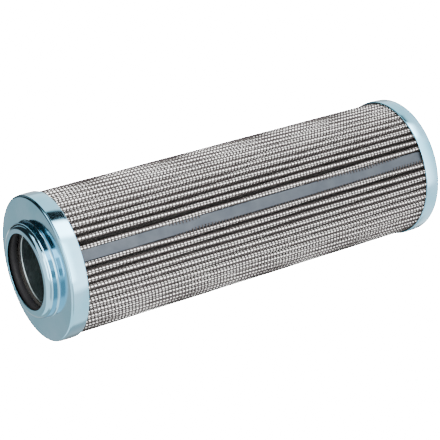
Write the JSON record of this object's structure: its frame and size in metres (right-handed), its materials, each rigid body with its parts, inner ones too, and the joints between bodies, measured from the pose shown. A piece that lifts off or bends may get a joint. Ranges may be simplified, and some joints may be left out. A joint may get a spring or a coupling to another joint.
{
  "type": "hydraulic filter",
  "caption": "Pleated hydraulic filter element under wire mesh, with a pressed closed end cap and a collared open end cap that seals on a spigot.",
  "frame": {"origin": "on the axis, in the plane of the closed cap's base", "axes": "+Z along the axis from the closed cap to the neck; the side seam faces -Y"},
  "size_m": [0.068, 0.068, 0.2091],
  "materials": {
    "cap_steel": "zinc-plated, semi-gloss, blue-grey",
    "seal_rubber": "black nitrile rubber, smooth",
    "tube_steel": "plain steel, satin",
    "mesh_wire": "dark woven steel wire",
    "fleece": "white spun fleece",
    "glass_fibre": "matte off-white fibre",
    "clip_steel": "dull galvanised sheet",
    "resin": "cast resin, near black"
  },
  "bodies": {
    "root": {"open_end_cap": "cap_steel", "closed_end_cap": "cap_steel", "neck_seal": "seal_rubber", "core_tube": "tube_steel", "outer_mesh": "mesh_wire", "upstream_fleece": "fleece", "filter_media": "glass_fibre", "downstream_fleece": "fleece", "inner_mesh": "mesh_wire", "seam_clip": "clip_steel", "seam_resin": "resin", "open_end_adhesive": "resin", "closed_end_adhesive": "resin"}
  },
  "joints": []
}
